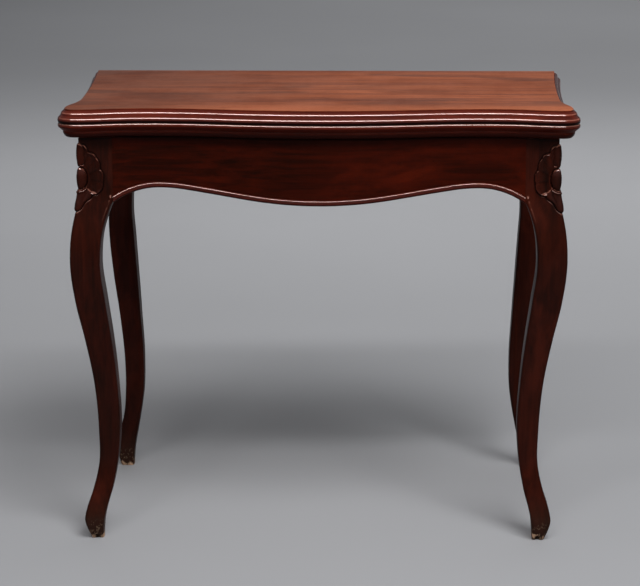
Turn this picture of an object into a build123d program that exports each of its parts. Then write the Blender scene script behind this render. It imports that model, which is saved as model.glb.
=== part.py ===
from build123d import *
from math import asin, cos, degrees, radians, sin, sqrt
import os

os.makedirs("parts", exist_ok=True)

# Top: two leaves of one outline, folded face to face and hinged at the back
table_height = 740.0
top_width = 851.0
top_depth = 458.0
leaf_thick = 23.0
leaf_gap = 0.4
upper_mould_depth = 11.5
lower_mould_depth = 13.5
mould_stock = 3.0

# Top outline: a bulged front with two hollows, swelled corners and waisted ends
bulge_turn = 10.2
hollow_radius = 650.0
hollow_side_radius = 300.0
hollow_side_turn = 15.5
corner_swell_radius = 150.0
corner_radius = 28.5
end_swell_radius = 130.0
end_turn = 19.5
end_hollow_radius = 150.0
end_sweep_radius = 3800.0

# Edge mouldings: (inset, height) as shares of the moulding's depth and the leaf's thickness
upper_foot_share = (0.13, 0.0)
upper_nose_shares = [(0.0, 0.25), (0.27, 0.46)]
upper_dip_share = (0.44, 0.54)
upper_shoulder_shares = [(0.56, 0.74), (0.90, 0.865)]
upper_quirk_shares = [(1.0, 0.865), (1.0, 1.0)]
lower_foot_share = (0.11, 0.0)
lower_nose_shares = [(0.0, 0.17), (0.17, 0.34)]
lower_step_shares = [(0.46, 0.5), (0.60, 0.55)]
lower_round_shares = [(0.74, 0.85), (1.0, 1.0)]

# Playing surface: a baize sheet let into each leaf
baize_thick = 1.0
baize_recess = 1.2
baize_margin = 64.0
baize_fit = 0.3

# Tongue in the lower leaf's back edge, which steadies the opened top
tongue_width = 60.0
tongue_thick = 6.0
tongue_proud = 6.0
tongue_seat = 12.0
tongue_below = 8.0
tongue_fit = 0.6
tongue_round = 2.5

# Butt hinges in the back edges
hinge_length = 40.0
hinge_end_inset = 19.0
hinge_plate_thick = 1.8
hinge_plate_height = 17.0
knuckle_radius = 3.2
knuckle_count = 5
knuckle_gap = 0.3
knuckle_clear = 0.5
hinge_pin_radius = 1.5
hinge_fit = 0.1
hinge_pin_fit = 0.05
hinge_screw_count = 3
hinge_screw_radius = 1.4
hinge_screw_head = 2.8
hinge_screw_length = 14.0
hinge_screw_pitch = 14.0

# Frame
front_overhang = 17.0
front_end_overhang = 33.0
rear_end_overhang = 36.5
back_overhang = 6.0
front_leg_block = 54.5
rear_leg_block = 48.0
rail_thick = 22.0
apron_depth = 110.5
back_rail_depth = 92.0
back_rail_inset = 3.0
side_rail_waist = 13.0
side_rail_thin = 18.0
side_rail_rear_inset = 4.0
slide_strip_thick = 1.2
slide_strip_width = 12.0
slide_gap = 0.3

# Shaped lower edge of the front and side rails, with its bead
belly_radius = 825.0
belly_turn = 8.1
arch_radius = 284.0
arch_peak_share = 0.7735
shoulder_radius = 132.0
side_shoulder_run = 72.0
bead_height = 9.5
bead_proud = 3.4
bead_round = 3.0

# Tenons of the rails
tenon_length = 20.0
tenon_thick = 9.0
tenon_shoulder = 12.0
tenon_fit = 0.2

# Cabriole legs: (height, outer offset, inner offset, hollow) as shares
leg_round = 5.5
leg_block_round = 1.0
front_leg_break = 104.0
rear_leg_break = 96.0
front_leg_shares = [
    (0.0, -0.13, 0.50, 0.0),
    (0.03, -0.01, 0.52, 0.0),
    (0.06, 0.06, 0.55, 0.0),
    (0.095, -0.01, 0.63, 0.0),
    (0.14, -0.17, 0.77, 0.0),
    (0.215, -0.355, 0.93, 0.0),
    (0.32, -0.37, 1.035, 0.0),
    (0.47, -0.26, 0.98, 0.0),
    (0.60, -0.035, 0.86, 0.0),
    (0.71, 0.19, 0.72, 0.0),
    (0.83, 0.305, 0.595, 0.15),
    (0.92, 0.21, 0.70, 0.6),
    (0.97, 0.09, 0.87, 0.9),
]
rear_leg_shares = [
    (0.0, -0.05, 0.56, 0.0),
    (0.02, 0.0, 0.57, 0.0),
    (0.06, 0.02, 0.62, 0.0),
    (0.11, -0.05, 0.74, 0.0),
    (0.17, -0.25, 0.89, 0.0),
    (0.26, -0.37, 1.06, 0.0),
    (0.36, -0.37, 1.10, 0.0),
    (0.50, -0.21, 1.01, 0.0),
    (0.62, -0.01, 0.91, 0.0),
    (0.74, 0.13, 0.81, 0.0),
    (0.82, 0.15, 0.75, 0.0),
    (0.91, 0.10, 0.82, 0.0),
    (0.97, 0.03, 0.94, 0.0),
]

# Pivot of the top, its rail and the stops of its quarter turn
pivot_rail_thick = 28.0
pivot_bolt_radius = 6.0
pivot_fit = 0.08
pivot_plate_length = 90.0
pivot_plate_width = 50.0
pivot_plate_thick = 4.0
pivot_plate_round = 6.0
plate_screw_radius = 2.0
plate_screw_head = 4.0
plate_screw_length = 14.0
plate_screw_pitch_x = 68.0
plate_screw_pitch_y = 30.0
washer_radius = 15.0
washer_thick = 2.5
nut_across = 19.0
nut_thick = 10.0
bolt_proud = 4.0
bolt_chamfer = 1.0
part_fit = 0.05
stop_peg_radius = 8.0
stop_peg_drop = 24.0
stop_peg_seat = 12.0
stop_peg_ahead = 90.0
stop_clear = 0.5
stop_peg_chamfer = 1.5
stop_block_length = 34.0
stop_block_thick = 16.0
stop_block_height = 22.0
stop_screw_radius = 2.0
stop_screw_head = 4.0
stop_screw_length = 20.0

# Card well under the top, left of the pivot rail
well_depth = 56.0
well_floor_thick = 8.0
well_fit = 0.3
divider_thick = 10.0
ledger_size = 12.0
glue_block_side = 20.0
glue_block_height = 46.0
glue_block_drop = 2.0

# Places that follow from the sizes above
half_width = top_width / 2
back_y = (top_depth - tongue_proud) / 2
front_y = back_y - top_depth
upper_bottom = table_height - leaf_thick
joint_z = upper_bottom - leaf_gap / 2
lower_top = upper_bottom - leaf_gap
lower_bottom = lower_top - leaf_thick
frame_top = lower_bottom - slide_gap - slide_strip_thick
hinge_y = back_y + leaf_gap / 2

bulge_sin = sin(radians(bulge_turn))
bulge_rise_share = 1 - cos(radians(bulge_turn))
side_sin = sin(radians(hollow_side_turn))
side_rise_share = 1 - cos(radians(hollow_side_turn))
side_reach = (hollow_side_radius + corner_swell_radius) * side_sin
hollow_x = half_width - corner_radius - side_reach
bulge_radius = hollow_x / bulge_sin - hollow_radius
hollow_y = front_y + (bulge_radius + hollow_radius) * bulge_rise_share
corner_y = hollow_y - (hollow_side_radius + corner_swell_radius) * side_rise_share
corner_turn_y = corner_y + corner_radius

waist_x = half_width - (end_swell_radius + end_hollow_radius) * (1 - cos(radians(end_turn)))
waist_y = corner_turn_y + (end_swell_radius + end_hollow_radius) * sin(radians(end_turn))
back_half_width = waist_x + end_sweep_radius - sqrt(end_sweep_radius**2 - (back_y - waist_y) ** 2)

hinge_x = back_half_width - hinge_end_inset - hinge_length / 2
hinge_root = knuckle_radius + knuckle_clear
hinge_screw_height = (hinge_root + hinge_plate_height) / 2
knuckle_pitch = hinge_length / knuckle_count
knuckle_length = knuckle_pitch - knuckle_gap
tongue_high = lower_top - tongue_below
tongue_reach = tongue_below + tongue_thick + leaf_gap / 2
tongue_swing = sqrt(tongue_proud**2 + tongue_reach**2)

front_leg_face_x = half_width - front_end_overhang
rear_leg_face_x = half_width - rear_end_overhang
front_leg_face_y = corner_y + front_overhang
back_leg_face_y = back_y - back_overhang
front_joint_x = front_leg_face_x - front_leg_block
rear_joint_x = rear_leg_face_x - rear_leg_block
side_joint_front = front_leg_face_y + front_leg_block
side_joint_rear = back_leg_face_y - rear_leg_block
front_arc_sweep = (hollow_side_radius + front_overhang) ** 2 - (front_joint_x - hollow_x) ** 2
front_joint_y = hollow_y - hollow_side_radius + sqrt(front_arc_sweep)
leg_face_hollow = front_joint_y - front_leg_face_y
side_face_front = front_leg_face_x - leg_face_hollow
side_inner_x = (side_face_front + rear_leg_face_x - side_rail_rear_inset) / 2 - side_rail_waist - side_rail_thin
side_face_rear = rear_leg_face_x - side_rail_rear_inset
apron_low = frame_top - apron_depth
back_rail_outer = back_leg_face_y - back_rail_inset
back_rail_inner = back_rail_outer - rail_thick
front_inner_inset = front_overhang + rail_thick

frame_mid_y = (front_leg_face_y + back_leg_face_y) / 2
leaf_mid_y = (front_y + back_y) / 2
pivot_x = (top_depth / 2 + leaf_mid_y - frame_mid_y) / 2
pivot_y = (top_depth / 2 + leaf_mid_y + frame_mid_y) / 2
pivot_rail_low = frame_top - pivot_rail_thick
stop_face_y = back_rail_inner - stop_block_thick
stop_peg_aside = stop_face_y - pivot_y - stop_peg_radius - stop_clear
stop_peg_x = pivot_x + stop_peg_aside
stop_peg_y = pivot_y - stop_peg_ahead
pivot_rail_half = stop_peg_aside - stop_peg_radius - stop_clear
stop_block_x = pivot_x + stop_peg_ahead
well_floor_top = frame_top - well_depth
well_floor_low = well_floor_top - well_floor_thick
divider_face = pivot_x - pivot_rail_half - divider_thick

peak_x = front_joint_x * arch_peak_share
belly_sin = sin(radians(belly_turn))
slope_run = (peak_x - (belly_radius + arch_radius) * belly_sin) / cos(radians(belly_turn))
belly_rise = belly_radius * (1 - cos(radians(belly_turn)))
arch_rise = arch_radius * (1 - cos(radians(belly_turn)))
peak_z = apron_low + belly_rise + slope_run * belly_sin + arch_rise
shoulder_drop = shoulder_radius - sqrt(shoulder_radius**2 - (front_joint_x - peak_x) ** 2)
tenon_low = peak_z - shoulder_drop + tenon_shoulder
tenon_high = frame_top - tenon_shoulder


def save(piece, name):
    piece.part.label = name
    export_step(piece.part, f"parts/{name}.step")


# Outlines of the top
def front_run(inset):
    """Right half of the top's front edge, set in by inset, up to the corner."""
    bulge = JernArc((0, front_y + inset), (1, 0), bulge_radius - inset, bulge_turn)
    hollow = JernArc(bulge @ 1, bulge % 1, hollow_radius + inset, -bulge_turn)
    side = JernArc(hollow @ 1, hollow % 1, hollow_side_radius + inset, -hollow_side_turn)
    return JernArc(side @ 1, side % 1, corner_swell_radius - inset, hollow_side_turn)


def end_run(start, inset, reach):
    """Right end of the top's edge, from the front corner to the back and past it by reach."""
    swell = JernArc(start, (0, 1), end_swell_radius - inset, end_turn)
    waist = JernArc(swell @ 1, swell % 1, end_hollow_radius + inset, -end_turn)
    run = back_y + reach - (waist @ 1).Y
    sweep_turn = degrees(asin(run / (end_sweep_radius + inset)))
    return JernArc(waist @ 1, waist % 1, end_sweep_radius + inset, -sweep_turn)


def rim(inset, reach=0):
    """Right half of the whole edge of the top, from the middle of the front to the back."""
    front = front_run(inset)
    corner = JernArc(front @ 1, front % 1, corner_radius - inset, 90)
    return end_run(corner @ 1, inset, reach)


def half_top(inset):
    """Face of the top's right half."""
    with BuildLine() as outline:
        last = rim(inset)
        Line(last @ 1, (0, back_y))
        Line((0, back_y), (0, front_y + inset))
    make_face(outline.edges())


def behind_front(inset, mode=Mode.ADD, reach=0):
    """Face of all that lies behind the front edge set in by inset."""
    far_y = back_y + reach
    with BuildLine() as outline:
        last = front_run(inset)
        Line(last @ 1, ((last @ 1).X, far_y))
        Line(((last @ 1).X, far_y), (0, far_y))
        mirror(about=Plane.YZ)
    make_face(outline.edges(), mode=mode)


def between_ends(inset, mode=Mode.ADD, reach=0):
    """Face of all that lies between the two ends set in by inset."""
    end_x = half_width - inset
    with BuildLine() as outline:
        Line((0, front_y), (end_x, front_y))
        Line((end_x, front_y), (end_x, corner_turn_y))
        last = end_run((end_x, corner_turn_y), inset, reach)
        Line(last @ 1, (0, back_y + reach))
        mirror(about=Plane.YZ)
    make_face(outline.edges(), mode=mode)


def playing_field(inset, reach=0):
    """Face of the playing surface, up to the hinged edge or short of it by a negative reach."""
    behind_front(inset, reach=reach)
    between_ends(inset, Mode.INTERSECT, reach)


def between_rails(low_x, high_x):
    """Face between the front rail and the back rail, from low_x to high_x."""
    behind_front(front_inner_inset)
    with Locations(((low_x + high_x) / 2, (front_y + back_rail_inner) / 2)):
        Rectangle(high_x - low_x, back_rail_inner - front_y, mode=Mode.INTERSECT)


def front_band(outer_inset, inner_inset, low_x, high_x):
    """Face of a strip that follows the front edge, from low_x to high_x."""
    behind_front(outer_inset)
    behind_front(inner_inset, Mode.SUBTRACT)
    with Locations(((low_x + high_x) / 2, 0)):
        Rectangle(high_x - low_x, top_depth * 2, mode=Mode.INTERSECT)


# Leaves
def moulded_leaf(bottom, thick, depth, shares, up):
    """A leaf whose edge is cut to the moulding that the shares draw, upward or downward."""
    edge = [(-inset * depth, height * thick * up) for inset, height in shares]
    base = bottom if up > 0 else bottom + thick
    far = (thick + mould_stock) * up
    near = -mould_stock * up
    out = mould_stock * 2
    last_x = edge[-1][0]
    first_x = edge[0][0]
    rounds = len(edge) - (5 if up > 0 else 3)
    with BuildPart() as leaf:
        with BuildSketch(Plane.XY.offset(bottom)):
            half_top(-mould_stock)
        extrude(amount=thick)
        with BuildLine(Plane.XY.offset(base)) as path:
            rim(0, mould_stock)
        with BuildSketch(Plane((0, front_y, base), x_dir=(0, -1, 0), z_dir=(-1, 0, 0))):
            with BuildLine():
                ThreePointArc(*edge[:3])
                Polyline(*edge[2 : rounds + 1])
                ThreePointArc(*edge[rounds : rounds + 3])
                Polyline(*edge[rounds + 2 :], (last_x, far), (out, far), (out, near), (first_x, near), edge[0])
            make_face()
        sweep(path=path.line, mode=Mode.SUBTRACT)
        mirror(about=Plane.YZ)
    return leaf.part


def hinge_screw_places(side, up):
    """Planes at the mouths of one plate's screw holes, facing backward."""
    height = joint_z + up * hinge_screw_height
    middle = (hinge_screw_count - 1) / 2
    steps = [(number - middle) * hinge_screw_pitch for number in range(hinge_screw_count)]
    return [Plane((side * hinge_x + step, back_y, height), z_dir=(0, 1, 0)) for step in steps]


def hinge_seats(up):
    """Seats in a leaf's back edge for both hinges, with a scallop for the knuckles."""
    seat = hinge_plate_height + hinge_fit
    for side in (-1, 1):
        with Locations((side * hinge_x, back_y - hinge_plate_thick / 2, joint_z + up * seat / 2)):
            Box(hinge_length + hinge_fit * 2, hinge_plate_thick, seat, mode=Mode.SUBTRACT)
        with Locations((side * hinge_x, hinge_y, joint_z)):
            Cylinder(hinge_root, hinge_length + hinge_fit * 2, rotation=(0, 90, 0), mode=Mode.SUBTRACT)
        with Locations(*hinge_screw_places(side, up)):
            Hole(hinge_screw_radius + part_fit, depth=hinge_screw_length + part_fit)


upper_edge_shares = [upper_foot_share, *upper_nose_shares, upper_dip_share]
upper_edge_shares += [*upper_shoulder_shares, *upper_quirk_shares]
with BuildPart() as upper_leaf:
    add(moulded_leaf(upper_bottom, leaf_thick, upper_mould_depth, upper_edge_shares, 1))
    with BuildSketch(Plane.XY.offset(upper_bottom)):
        playing_field(baize_margin)
    extrude(amount=baize_recess, mode=Mode.SUBTRACT)
    mortise_low = upper_bottom + tongue_below - tongue_fit
    mortise_high = joint_z + tongue_swing + tongue_fit
    with Locations((0, back_y - tongue_proud / 2, (mortise_low + mortise_high) / 2)):
        Box(tongue_width + tongue_fit * 2, tongue_proud, mortise_high - mortise_low, mode=Mode.SUBTRACT)
    hinge_seats(1)
save(upper_leaf, "upper_leaf")

lower_edge_shares = [lower_foot_share, *lower_nose_shares, *lower_step_shares, *lower_round_shares]
plate_places = [
    Plane((pivot_x + step_x, pivot_y + step_y, lower_bottom), z_dir=(0, 0, -1))
    for step_x in (-plate_screw_pitch_x / 2, plate_screw_pitch_x / 2)
    for step_y in (-plate_screw_pitch_y / 2, plate_screw_pitch_y / 2)
]
with BuildPart() as lower_leaf:
    add(moulded_leaf(lower_bottom, leaf_thick, lower_mould_depth, lower_edge_shares, -1))
    with BuildSketch(Plane.XY.offset(lower_top)):
        playing_field(baize_margin)
    extrude(amount=-baize_recess, mode=Mode.SUBTRACT)
    with Locations((0, back_y - tongue_seat / 2, tongue_high - tongue_thick / 2)):
        Box(tongue_width, tongue_seat, tongue_thick, mode=Mode.SUBTRACT)
    hinge_seats(-1)
    with BuildSketch(Plane((pivot_x, pivot_y, lower_bottom))):
        RectangleRounded(
            pivot_plate_length + part_fit * 2, pivot_plate_width + part_fit * 2, pivot_plate_round + part_fit
        )
    extrude(amount=pivot_plate_thick, mode=Mode.SUBTRACT)
    with Locations(*plate_places):
        Hole(plate_screw_radius + part_fit, depth=plate_screw_length + part_fit)
    with Locations(Plane((stop_peg_x, stop_peg_y, lower_bottom), z_dir=(0, 0, -1))):
        Hole(stop_peg_radius + part_fit, depth=stop_peg_seat)
save(lower_leaf, "lower_leaf")

with BuildPart() as leaf_tongue:
    with BuildSketch(Plane.XY.offset(tongue_high - tongue_thick)):
        with Locations((0, back_y + (tongue_proud - tongue_seat) / 2)):
            Rectangle(tongue_width, tongue_proud + tongue_seat)
    extrude(amount=tongue_thick)
    fillet(leaf_tongue.edges().filter_by(Axis.Z).group_by(Axis.Y)[-1], tongue_round)
save(leaf_tongue, "leaf_tongue")


# Baize
def baize_sheet(name, base):
    with BuildPart() as sheet:
        with BuildSketch(Plane.XY.offset(base)):
            playing_field(baize_margin + baize_fit, -baize_fit)
        extrude(amount=baize_thick)
    save(sheet, name)


baize_sheet("upper_baize", upper_bottom + baize_recess - baize_thick)
baize_sheet("lower_baize", lower_top - baize_recess)


# Hinges
def hinge_plate(name, side, up):
    """A plate with every second knuckle, the outer ones on the lower leaf."""
    first = 0 if up < 0 else 1
    strap = hinge_plate_height - hinge_root
    mid_y = back_y - hinge_plate_thick / 2
    middle = (knuckle_count - 1) / 2
    with BuildPart() as plate:
        with Locations((side * hinge_x, mid_y, joint_z + up * (hinge_root + strap / 2))):
            Box(hinge_length, hinge_plate_thick, strap)
        for number in range(first, knuckle_count, 2):
            knuckle_x = side * hinge_x + (number - middle) * knuckle_pitch
            with Locations((knuckle_x, mid_y, joint_z + up * hinge_root / 2)):
                Box(knuckle_length, hinge_plate_thick, hinge_root)
            with Locations((knuckle_x, hinge_y, joint_z)):
                Cylinder(knuckle_radius, knuckle_length, rotation=(0, 90, 0))
        with Locations((side * hinge_x, hinge_y, joint_z)):
            Cylinder(hinge_pin_radius + hinge_pin_fit, hinge_length, rotation=(0, 90, 0), mode=Mode.SUBTRACT)
        with Locations(*hinge_screw_places(side, up)):
            CounterSinkHole(
                hinge_screw_radius + part_fit, hinge_screw_head + part_fit, hinge_plate_thick * 2, 90
            )
    save(plate, name)


def wood_screws(name, places, radius, head, length):
    """Countersunk screws whose heads lie flush at the places."""
    with BuildPart() as screws:
        with Locations(*places):
            Cylinder(radius, length, align=(Align.CENTER, Align.CENTER, Align.MAX))
            Cone(radius, head, head - radius, align=(Align.CENTER, Align.CENTER, Align.MAX))
    save(screws, name)


for side, hand in ((-1, "left"), (1, "right")):
    hinge_plate(f"{hand}_hinge_lower_plate", side, -1)
    hinge_plate(f"{hand}_hinge_upper_plate", side, 1)
    with BuildPart() as pin:
        with Locations((side * hinge_x, hinge_y, joint_z)):
            Cylinder(hinge_pin_radius, hinge_length, rotation=(0, 90, 0))
    save(pin, f"{hand}_hinge_pin")

for up, hand in ((-1, "lower"), (1, "upper")):
    screw_places = hinge_screw_places(-1, up) + hinge_screw_places(1, up)
    wood_screws(
        f"{hand}_hinge_screws", screw_places, hinge_screw_radius, hinge_screw_head, hinge_screw_length
    )

# Pivot
with BuildPart() as pivot_plate:
    with BuildSketch(Plane((pivot_x, pivot_y, lower_bottom))):
        RectangleRounded(pivot_plate_length, pivot_plate_width, pivot_plate_round)
        Circle(pivot_bolt_radius + part_fit, mode=Mode.SUBTRACT)
    extrude(amount=pivot_plate_thick)
    with Locations(*plate_places):
        CounterSinkHole(plate_screw_radius + part_fit, plate_screw_head + part_fit, pivot_plate_thick * 2, 90)
save(pivot_plate, "pivot_plate")
wood_screws("pivot_plate_screws", plate_places, plate_screw_radius, plate_screw_head, plate_screw_length)

bolt_low = pivot_rail_low - washer_thick - nut_thick - bolt_proud
with BuildPart() as pivot_bolt:
    with BuildSketch(Plane((pivot_x, pivot_y, bolt_low))):
        Circle(pivot_bolt_radius)
    extrude(amount=lower_bottom + pivot_plate_thick - bolt_low)
    chamfer(pivot_bolt.edges().sort_by(Axis.Z)[0], bolt_chamfer)
save(pivot_bolt, "pivot_bolt")

with BuildPart() as pivot_washer:
    with BuildSketch(Plane((pivot_x, pivot_y, pivot_rail_low - washer_thick))):
        Circle(washer_radius)
        Circle(pivot_bolt_radius + part_fit, mode=Mode.SUBTRACT)
    extrude(amount=washer_thick)
save(pivot_washer, "pivot_washer")

with BuildPart() as pivot_nut:
    with BuildSketch(Plane((pivot_x, pivot_y, pivot_rail_low - washer_thick - nut_thick))):
        RegularPolygon(nut_across / 2, 6, major_radius=False)
        Circle(pivot_bolt_radius + part_fit, mode=Mode.SUBTRACT)
    extrude(amount=nut_thick)
save(pivot_nut, "pivot_nut")

with BuildPart() as stop_peg:
    with BuildSketch(Plane((stop_peg_x, stop_peg_y, lower_bottom - stop_peg_drop))):
        Circle(stop_peg_radius)
    extrude(amount=stop_peg_drop + stop_peg_seat)
    chamfer(stop_peg.edges().sort_by(Axis.Z)[0], stop_peg_chamfer)
save(stop_peg, "stop_peg")

with BuildPart() as pivot_rail:
    with BuildSketch(Plane.XY.offset(pivot_rail_low)):
        between_rails(pivot_x - pivot_rail_half, pivot_x + pivot_rail_half)
        with Locations((pivot_x, pivot_y)):
            Circle(pivot_bolt_radius + pivot_fit, mode=Mode.SUBTRACT)
    extrude(amount=pivot_rail_thick)
save(pivot_rail, "pivot_rail")

stop_screw_places = [
    Plane((stop_block_x + step, stop_face_y, frame_top - stop_block_height / 2), z_dir=(0, -1, 0))
    for step in (-stop_block_length / 4, stop_block_length / 4)
]
with BuildPart() as stop_block:
    with Locations((stop_block_x, stop_face_y + stop_block_thick / 2, frame_top - stop_block_height / 2)):
        Box(stop_block_length, stop_block_thick, stop_block_height)
    with Locations(*stop_screw_places):
        CounterSinkHole(stop_screw_radius + part_fit, stop_screw_head + part_fit, stop_block_thick * 2, 90)
save(stop_block, "stop_block")
wood_screws("stop_block_screws", stop_screw_places, stop_screw_radius, stop_screw_head, stop_screw_length)


# Shaped lower edges
def front_arch(lift):
    """Right half of the front rail's lower edge, raised by lift."""
    belly = JernArc((0, apron_low + lift), (1, 0), belly_radius - lift, belly_turn)
    slope = Line(belly @ 1, (belly @ 1) + (belly % 1) * slope_run)
    arch = JernArc(slope @ 1, slope % 1, arch_radius + lift, -belly_turn)
    turn = degrees(asin((front_joint_x - (arch @ 1).X) / (shoulder_radius + lift)))
    return JernArc(arch @ 1, arch % 1, shoulder_radius + lift, -turn)


def under_front_arch(lift, mode=Mode.ADD):
    """Face of all that lies under the front rail's lower edge, raised by lift."""
    low = apron_low - bead_height
    with BuildLine() as outline:
        last = front_arch(lift)
        Line(last @ 1, (front_joint_x, low))
        Line((front_joint_x, low), (0, low))
        mirror(about=Plane.YZ)
    make_face(outline.edges(), mode=mode)


def under_side_arch(lift, mode=Mode.ADD):
    """Face of all that lies under a side rail's lower edge, raised by lift."""
    low = apron_low - bead_height
    turn = degrees(asin(side_shoulder_run / (shoulder_radius + lift)))
    front_peak = (side_joint_front + side_shoulder_run, peak_z + lift)
    rear_peak = (side_joint_rear - side_shoulder_run, peak_z + lift)
    with BuildLine() as outline:
        front_end = JernArc(front_peak, (-1, 0), shoulder_radius + lift, turn)
        Line(front_peak, rear_peak)
        rear_end = JernArc(rear_peak, (1, 0), shoulder_radius + lift, -turn)
        Polyline(front_end @ 1, (side_joint_front, low), (side_joint_rear, low), rear_end @ 1)
    make_face(outline.edges(), mode=mode)


def side_face(side, proud):
    """Outer edge line of a side rail in plan, moved out by proud."""
    front_x = side_face_front + proud
    rear_x = side_face_rear + proud
    waist = (front_x + rear_x) / 2 - side_rail_waist
    mid_y = (side_joint_front + side_joint_rear) / 2
    ends = ((side * front_x, side_joint_front), (side * waist, mid_y), (side * rear_x, side_joint_rear))
    return ThreePointArc(*ends)


# Rails
tenon_height = tenon_high - tenon_low
tenon_mid = (tenon_high + tenon_low) / 2
front_tenon_y = front_joint_y + rail_thick / 2
back_tenon_y = (back_rail_outer + back_rail_inner) / 2
side_tenon_x = side_inner_x + rail_thick / 2

with BuildPart() as front_rail:
    with BuildSketch(Plane.XY.offset(apron_low)):
        front_band(front_overhang, front_inner_inset, -front_joint_x, front_joint_x)
    extrude(amount=apron_depth)
    with BuildSketch(Plane.XZ):
        under_front_arch(0)
    extrude(amount=top_depth, both=True, mode=Mode.SUBTRACT)
    for side in (-1, 1):
        with Locations((side * (front_joint_x + tenon_length / 2), front_tenon_y, tenon_mid)):
            Box(tenon_length, tenon_thick, tenon_height)
save(front_rail, "front_rail")

with BuildPart() as front_bead:
    with BuildSketch(Plane.XY.offset(apron_low)):
        front_band(front_overhang - bead_proud, front_overhang, -front_joint_x, front_joint_x)
    extrude(amount=peak_z + bead_height - apron_low)
    with BuildSketch(Plane.XZ):
        under_front_arch(bead_height)
        under_front_arch(0, Mode.SUBTRACT)
    extrude(amount=top_depth, both=True, mode=Mode.INTERSECT)
    outer = front_bead.faces().filter_by(lambda face: -face.normal_at().Y > abs(face.normal_at().Z))
    fillet(outer.edges().filter_by(GeomType.LINE, reverse=True), bead_round)
save(front_bead, "front_bead")

with BuildPart() as back_rail:
    with Locations((0, back_tenon_y, frame_top - back_rail_depth / 2)):
        Box(rear_joint_x * 2, rail_thick, back_rail_depth)
    for side in (-1, 1):
        with Locations((side * (rear_joint_x + tenon_length / 2), back_tenon_y, tenon_mid)):
            Box(tenon_length, tenon_thick, tenon_height)
    with Locations(*stop_screw_places):
        Hole(stop_screw_radius + part_fit, depth=stop_screw_length + part_fit)
save(back_rail, "back_rail")

for side, hand in ((-1, "left"), (1, "right")):
    with BuildPart() as side_rail:
        with BuildSketch(Plane.XY.offset(apron_low)):
            with BuildLine():
                face = side_face(side, 0)
                inner = ((side * side_inner_x, side_joint_rear), (side * side_inner_x, side_joint_front))
                Polyline(face @ 1, *inner, face @ 0)
            make_face()
        extrude(amount=apron_depth)
        with BuildSketch(Plane.YZ):
            under_side_arch(0)
        extrude(amount=top_width, both=True, mode=Mode.SUBTRACT)
        for joint_y, end in ((side_joint_front, -1), (side_joint_rear, 1)):
            with Locations((side * side_tenon_x, joint_y + end * tenon_length / 2, tenon_mid)):
                Box(tenon_thick, tenon_length, tenon_height)
    save(side_rail, f"{hand}_side_rail")

    with BuildPart() as side_bead:
        with BuildSketch(Plane.XY.offset(apron_low)):
            with BuildLine():
                outer = side_face(side, bead_proud)
                seat = side_face(side, 0)
                Line(outer @ 0, seat @ 0)
                Line(outer @ 1, seat @ 1)
            make_face()
        extrude(amount=peak_z + bead_height - apron_low)
        with BuildSketch(Plane.YZ):
            under_side_arch(bead_height)
            under_side_arch(0, Mode.SUBTRACT)
        extrude(amount=top_width, both=True, mode=Mode.INTERSECT)
        outer = side_bead.faces().filter_by(lambda face: face.normal_at().X * side > abs(face.normal_at().Z))
        fillet(outer.edges().filter_by(GeomType.LINE, reverse=True), bead_round)
    save(side_bead, f"{hand}_side_bead")

strip_edge = (rail_thick - slide_strip_width) / 2
with BuildPart() as slide_strips:
    with BuildSketch(Plane.XY.offset(frame_top)):
        front_band(front_overhang + strip_edge, front_inner_inset - strip_edge, -front_joint_x, front_joint_x)
        with Locations((0, back_tenon_y)):
            Rectangle(rear_joint_x * 2, slide_strip_width)
    extrude(amount=slide_strip_thick)
save(slide_strips, "slide_strips")

# Card well
floor_left = -side_inner_x + well_fit
with BuildPart() as well_floor:
    with BuildSketch(Plane.XY.offset(well_floor_low)):
        between_rails(floor_left, divider_face)
        for joint_x, corner_y_limit, end in (
            (front_joint_x, side_joint_front, -1),
            (rear_joint_x, side_joint_rear, 1),
        ):
            notch_x = -joint_x + well_fit
            notch_y = corner_y_limit - end * well_fit
            with Locations((notch_x, notch_y)):
                Rectangle(
                    top_width,
                    top_depth,
                    align=(Align.MAX, Align.MAX if end < 0 else Align.MIN),
                    mode=Mode.SUBTRACT,
                )
    extrude(amount=well_floor_thick)
save(well_floor, "well_floor")

with BuildPart() as well_divider:
    with BuildSketch(Plane.XY.offset(well_floor_low)):
        between_rails(divider_face, divider_face + divider_thick)
    extrude(amount=frame_top - well_floor_low)
save(well_divider, "well_divider")

with BuildPart() as well_ledgers:
    with BuildSketch(Plane.XY.offset(well_floor_low - ledger_size)):
        front_band(front_inner_inset, front_inner_inset + ledger_size, -front_joint_x, divider_face)
        with Locations((-rear_joint_x, back_rail_inner)):
            Rectangle(rear_joint_x + divider_face, ledger_size, align=(Align.MIN, Align.MAX))
        with Locations((-side_inner_x, (side_joint_front + side_joint_rear) / 2)):
            Rectangle(ledger_size, side_joint_rear - side_joint_front, align=(Align.MIN, Align.CENTER))
    extrude(amount=ledger_size)
save(well_ledgers, "well_ledgers")

# Glue blocks in the corners between rails and legs
glue_block_low = frame_top - glue_block_drop - glue_block_height
front_inner_y = front_joint_y + rail_thick
with BuildPart() as glue_blocks:
    for side in (-1, 1):
        with BuildSketch(Plane.XY.offset(glue_block_low)):
            behind_front(front_inner_inset)
            Polygon(
                (side * front_joint_x, front_inner_y + glue_block_side),
                (side * (front_joint_x - glue_block_side), front_inner_y),
                (side * (front_joint_x - glue_block_side), front_y),
                (side * front_joint_x, front_y),
                align=None,
                mode=Mode.INTERSECT,
            )
        extrude(amount=glue_block_height)
        with BuildSketch(Plane.XY.offset(glue_block_low)):
            Polygon(
                (side * rear_joint_x, back_rail_inner),
                (side * (rear_joint_x - glue_block_side), back_rail_inner),
                (side * rear_joint_x, back_rail_inner - glue_block_side),
                align=None,
            )
        extrude(amount=glue_block_height)
save(glue_blocks, "glue_blocks")


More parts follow.
